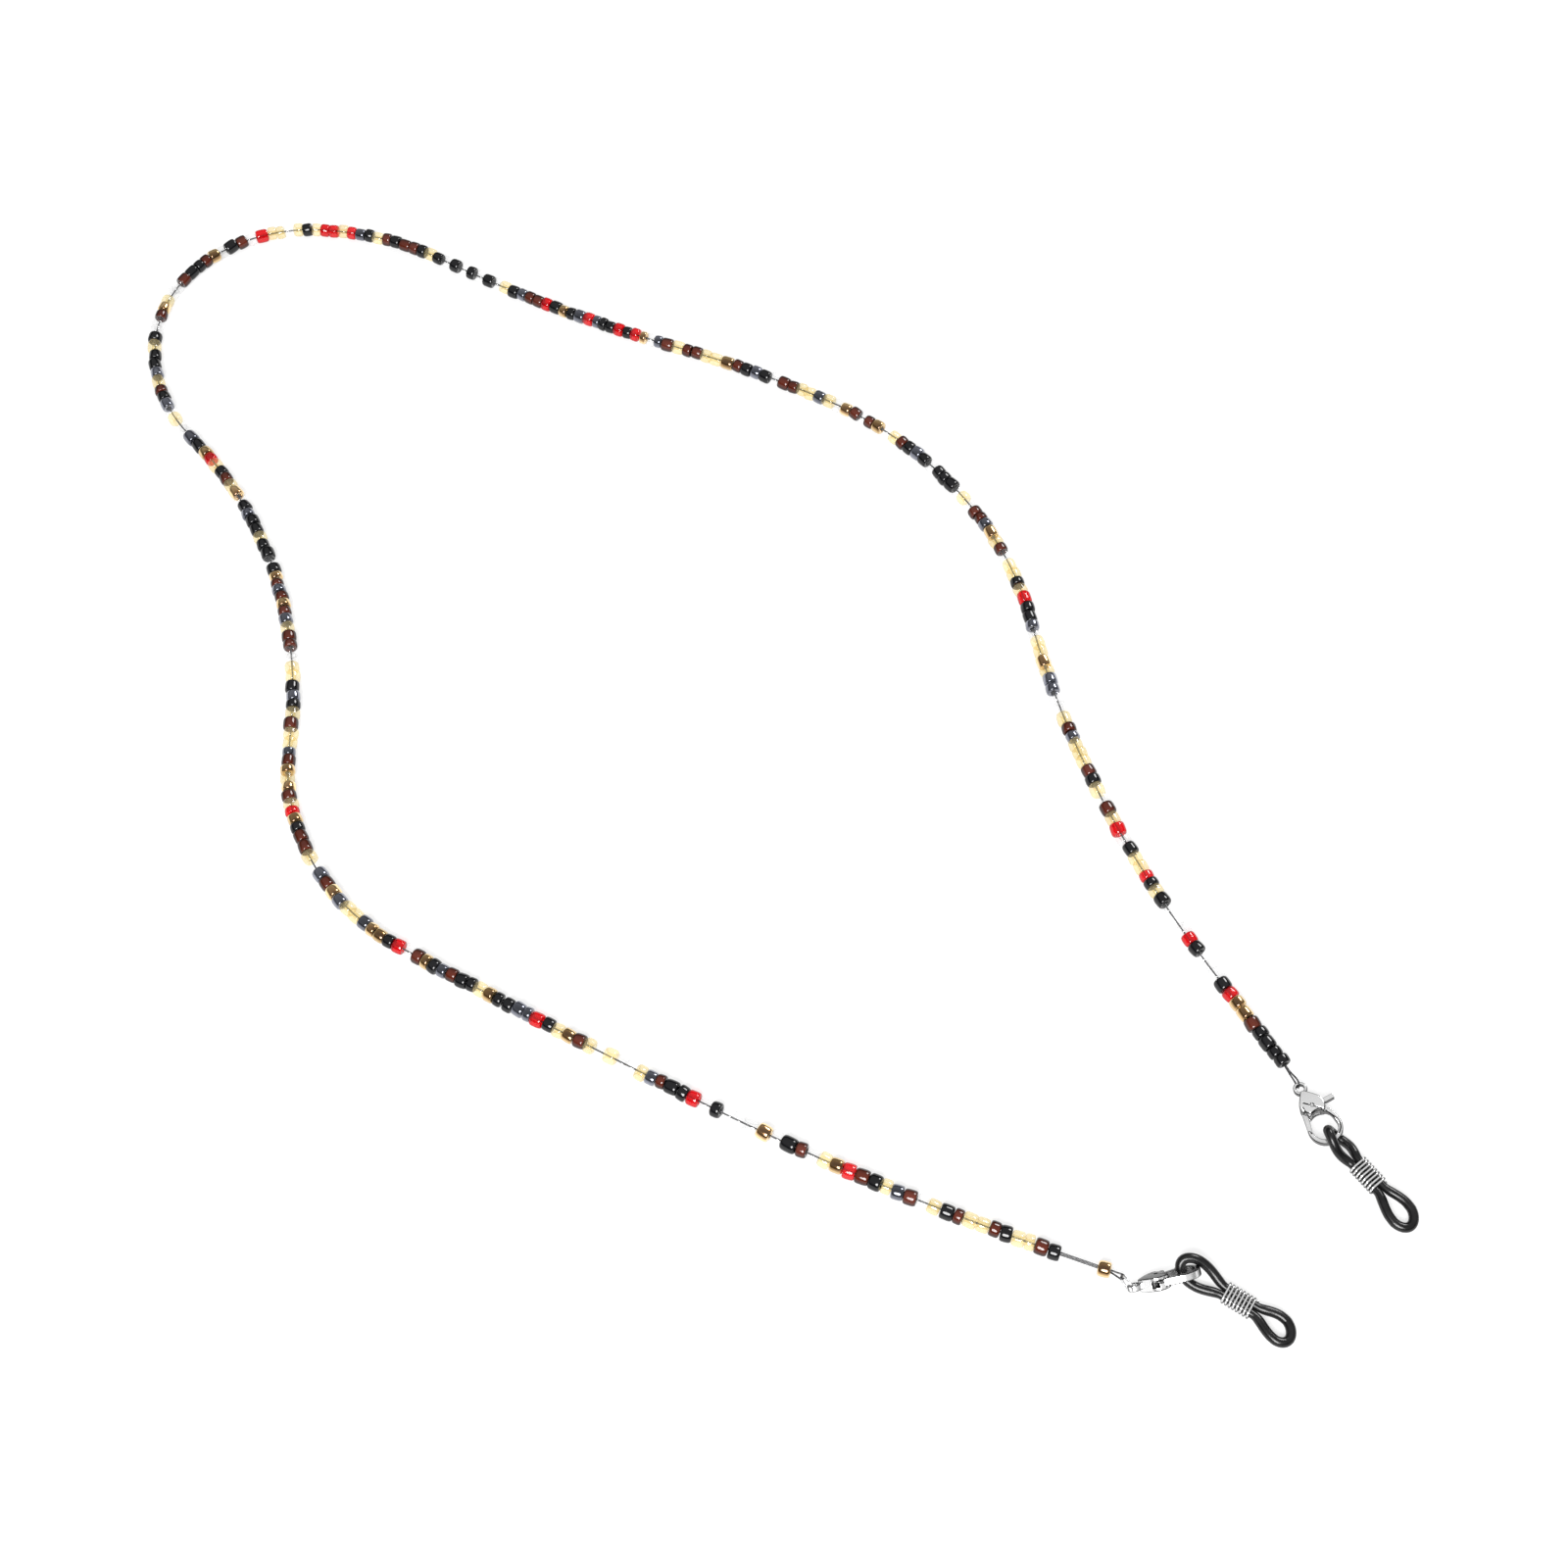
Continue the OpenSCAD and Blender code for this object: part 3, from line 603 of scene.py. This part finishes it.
def loop_halves(end, along, middle):
    """A temple loop's middle line with its radius, cut where its two legs pass the coil's middle."""
    points, near = welded(f"{end}_temple_loop")
    level = (points - middle) @ along
    at_cut = {i for i in range(len(points)) if abs(level[i]) < LEG_SLICE}
    legs = islands([[w for w in near[v] if w in at_cut] if v in at_cut else [] for v in range(len(points))])
    first, second = [leg for leg in legs if len(leg) == CORD_SIDES]
    behind = {w for v in first for w in near[v] if level[w] < -LEG_SLICE}
    rings = layers_from(near, first, behind)
    turn = next(i for i, ring in enumerate(rings) if set(ring) == set(second))
    rings += [sorted(behind), first]
    line = []
    for ring in rings:
        centre = points[ring].mean(0)
        line.append(np.append(centre, np.linalg.norm(points[ring] - centre, axis=1).mean()))
    return np.array(line[:turn + 1]), np.array(line[turn:])


def temple_loop(end):
    """Rubber loop in two halves that meet inside the coil."""
    slide = joint(f"{end}_coil_slide")
    along = unit(np.array(slide["axis"], float))
    low, high = (np.array(c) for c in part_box(f"{end}_coil_grip"))
    middle = (low + high) / 2
    lines = loop_halves(end, along, middle)
    for line in lines:
        tip = line[np.argmax(np.linalg.norm(line[:, :3] - middle, axis=1)), :3]
        which = "temple" if (tip - middle) @ along > 0 else "clasp"
        fine = smooth_line(line, SMOOTHING)
        piece = tube(f"{end}_loop_{which}_half", fine[:, :3], fine[:, 3], CORD_AROUND)
        dress(piece, RUBBER)
        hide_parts(f"{end}_temple_loop")
        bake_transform(piece)


def coil_grip(end):
    line = smooth_line(open_middle_line(f"{end}_coil_grip", COIL_RADIUS), SMOOTHING)
    piece = tube(f"{end}_coil_wire", line, COIL_RADIUS, COIL_AROUND, rounded=True)
    dress(piece, COIL_STEEL)
    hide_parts(f"{end}_coil_grip")
    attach(piece, f"{end}_coil")


for end in ENDS:
    temple_loop(end)
    coil_grip(end)


# ---------------------------------------------------------------- clasps and ring

def clasp_axes(end):
    """The clasp's own frame as a matrix, in millimetres: X to its hook, Y to its back, Z through it."""
    lever = joint(f"{end}_lever_open")
    through = Vector(lever["axis"]).normalized()
    outward = Vector(joint(f"{end}_loop_swing")["axis"]).cross(through).normalized()
    along = Matrix.Rotation(-HOOK_TURN[end], 3, through) @ outward
    across = through.cross(along)
    eye = Vector(lever["pos_m"]) - (along * CLASP_PIVOT[0] + across * CLASP_PIVOT[1]) * MM
    turn = Matrix((along, across, through)).transposed().to_4x4()
    return Matrix.Translation(eye) @ turn @ Matrix.Scale(MM, 4)


def cast_copy(node, name, axes, voxel, inflate, rounds):
    """A copy of a CAD node in the clasp's own millimetres, remeshed finely, then rounded as a casting
    is: swollen by inflate and smoothed in some rounds."""
    mesh = frame["nodes"][node].data.copy()
    mesh.transform(axes.inverted())
    work = bmesh.new()
    work.from_mesh(mesh)
    bmesh.ops.remove_doubles(work, verts=work.verts, dist=WELD)
    work.to_mesh(mesh)
    work.free()
    piece = bpy.data.objects.new(name, mesh)
    bpy.context.scene.collection.objects.link(piece)
    for kind, settings in (
        ("REMESH", {"mode": "VOXEL", "voxel_size": voxel}),
        ("DISPLACE", {"strength": inflate, "mid_level": 0.0}),
        ("SMOOTH", {"factor": 0.5, "iterations": rounds}),
    ):
        step = piece.modifiers.new(kind.lower(), kind)
        for key, value in settings.items():
            setattr(step, key, value)
    bpy.context.view_layer.update()
    final = bpy.data.meshes.new_from_object(piece.evaluated_get(bpy.context.evaluated_depsgraph_get()))
    piece.modifiers.clear()
    piece.data = final
    return piece


def set_down(piece, axes):
    """Back from the clasp's own millimetres to the object's frame, smooth-shaded."""
    piece.data.transform(axes)
    piece.data.polygons.foreach_set("use_smooth", [True] * len(piece.data.polygons))
    piece.data.update()


def distance_to_bar(points, a, b):
    """Distance of points in a plane from the straight line between two of its points."""
    a, b = np.array(a), np.array(b)
    t = np.clip(((points - a) @ (b - a)) / ((b - a) @ (b - a)), 0, 1)
    return np.linalg.norm(points - a - t[:, None] * (b - a), axis=1)


def carve_body(piece):
    """The bulb's faces swell, and shallow creases sweep across them and along the hook; how deep each place
    lies in a crease is kept for the material, which paints shade there."""
    points = np.array([v.co for v in piece.data.vertices], float)
    flat, height = points[:, :2], points[:, 2]
    from_pivot = np.linalg.norm(flat - np.array(CLASP_PIVOT), axis=1)
    dome = DOME_RISE * np.clip(1 - (from_pivot / DOME_RADIUS) ** 2, 0, 1)
    groove = np.zeros(len(points))
    for crease in CREASES:
        line = smooth_line(np.array(crease), CREASE_STEPS)
        away = np.min([distance_to_bar(flat, a, b) for a, b in zip(line, line[1:])], axis=0)
        groove = np.maximum(groove, np.exp(-(away / CREASE_WIDTH) ** 2 * 2))
    face_height = np.where(flat[:, 0] < BULB_END, BULB_FACE, HOOK_FACE)
    outer = np.clip((np.abs(height) - face_height) / FACE_RIM, 0, 1)
    points[:, 2] += np.sign(height) * outer * (dome - CREASE_DEPTH * groove)
    # keeps where the silver paints shade: the grooves on the faces, and the rounded edges
    paint_dark(piece, groove * outer)
    piece.data.vertices.foreach_set("co", points.astype(np.float32).ravel())


def paint_dark(piece, grooves):
    """Marks for the silver where shade is painted: grooves, and rounded edges, where a painted reflection of
    the dark band darkens them.
    """
    tilt = np.abs([v.normal[2] for v in piece.data.vertices])
    not_face = np.clip((FACE_TILT - tilt) / FACE_FADE, 0, 1)
    not_wall = np.clip((tilt - WALL_TILT) / WALL_FADE, 0, 1)
    kept = piece.data.attributes.new("crease", "FLOAT", "POINT")
    dark = np.maximum(grooves, EDGE_DARKNESS * not_face * not_wall)
    kept.data.foreach_set("value", dark.astype(np.float32))


def lobster_clasp(end):
    axes = clasp_axes(end)
    body = cast_copy(f"{end}_clasp_body", f"{end}_clasp_casting", axes, **BODY_CASTING)
    carve_body(body)
    lever = cast_copy(f"{end}_clasp_lever", f"{end}_clasp_gate", axes, **LEVER_CASTING)
    # painted dark reflection on the gate's rounded edges only
    paint_dark(lever, 0.0)
    for piece, node, rider in ((body, "clasp_body", "clasp"), (lever, "clasp_lever", "lever")):
        set_down(piece, axes)
        dress(piece, SILVER)
        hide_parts(f"{end}_{node}")
        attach(piece, f"{end}_{rider}")
    spring_line = smooth_line(open_middle_line(f"{end}_clasp_spring", SPRING_RADIUS), SMOOTHING)
    spring = tube(f"{end}_lever_spring", spring_line, SPRING_RADIUS, SPRING_AROUND)
    dress(spring, COIL_STEEL)
    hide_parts(f"{end}_clasp_spring")
    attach(spring, f"{end}_clasp")


def keep_cad_metal(node):
    """A small CAD part that is right as it is, with its edges eased."""
    piece = frame["nodes"][node]
    edge = piece.modifiers.new("eased_edges", "BEVEL")
    edge.width = EASED_EDGE
    edge.segments = 2
    edge.limit_method = "ANGLE"
    dress(piece, SILVER)


def jump_ring():
    """A wire ring with the fine gap of its butt joint, on the side by the clasp's eye."""
    low, high = (np.array(c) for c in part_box("left_jump_ring"))
    centre = (low + high) / 2
    radius = (high[2] - low[2]) / 2 - RING_WIRE_RADIUS
    level = unit(np.array([high[0] - low[0], low[1] - high[1], 0]))
    upward = np.array([0, 0, 1])
    turns = np.linspace(RING_GAP_AT + RING_GAP, RING_GAP_AT + 2 * math.pi - RING_GAP, RING_POINTS)
    line = np.array([centre + radius * (level * math.cos(a) + upward * math.sin(a)) for a in turns])
    piece = tube("left_jump_ring_wire", line, RING_WIRE_RADIUS, RING_AROUND)
    dress(piece, SILVER)
    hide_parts("left_jump_ring")
    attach(piece, "left_ring")


for end in ENDS:
    lobster_clasp(end)
    keep_cad_metal(f"{end}_clasp_pin")
    keep_cad_metal(f"{end}_crimp")
jump_ring()


# ---------------------------------------------------------------- stage, light and camera

def floor():
    points = [(x * FLOOR_HALF, y * FLOOR_HALF, 0) for x, y in ((-1, -1), (1, -1), (1, 1), (-1, 1))]
    piece = new_piece("floor", points, [(0, 1, 2, 3)])
    piece.data.materials.append(pale_floor("floor_finish"))


def soft_box(name, place, width, power):
    lamp = bpy.data.lights.new(name, "AREA")
    lamp.shape = "DISK"
    lamp.size = width
    lamp.energy = power
    made = bpy.data.objects.new(name, lamp)
    made.location = place
    made.rotation_euler = (Vector(LAMPS_LOOK_AT) - Vector(place)).to_track_quat("-Z", "Y").to_euler()
    bpy.context.scene.collection.objects.link(made)


def sky():
    """A white wall all round, a dark band above it and a paler top, which give metal its contrast. The
    camera sees a plain pale backdrop in their place."""
    world = bpy.data.worlds.new("studio")
    world.use_nodes = True
    tree = world.node_tree
    tree.nodes.clear()
    way = add(tree, "ShaderNodeSeparateXYZ", Vector=add(tree, "ShaderNodeTexCoord").outputs["Generated"])
    light = add(tree, "ShaderNodeBackground", Color=ramp(tree, way.outputs["Z"], SKY), Strength=1.0)
    backdrop = add(tree, "ShaderNodeBackground", Color=(1, 1, 1, 1), Strength=BACKDROP)
    seen = add(tree, "ShaderNodeLightPath").outputs["Is Camera Ray"]
    both = add(tree, "ShaderNodeMixShader", in0=seen, in1=light.outputs[0], in2=backdrop.outputs[0])
    add(tree, "ShaderNodeOutputWorld", Surface=both.outputs[0])
    bpy.context.scene.world = world


def camera():
    eye = bpy.data.cameras.new("camera")
    eye.lens = CAMERA_LENS
    eye.sensor_width = CAMERA_SENSOR
    eye.clip_start = CAMERA_NEAREST
    made = bpy.data.objects.new("camera", eye)
    made.location = CAMERA_AT
    made.rotation_euler = (Vector(CAMERA_LOOKS_AT) - Vector(CAMERA_AT)).to_track_quat("-Z", "Y").to_euler()
    bpy.context.scene.collection.objects.link(made)
    bpy.context.scene.camera = made


floor()
sky()
for lamp in LAMPS:
    soft_box(*lamp)
camera()
bpy.context.scene.view_settings.view_transform = "Standard"
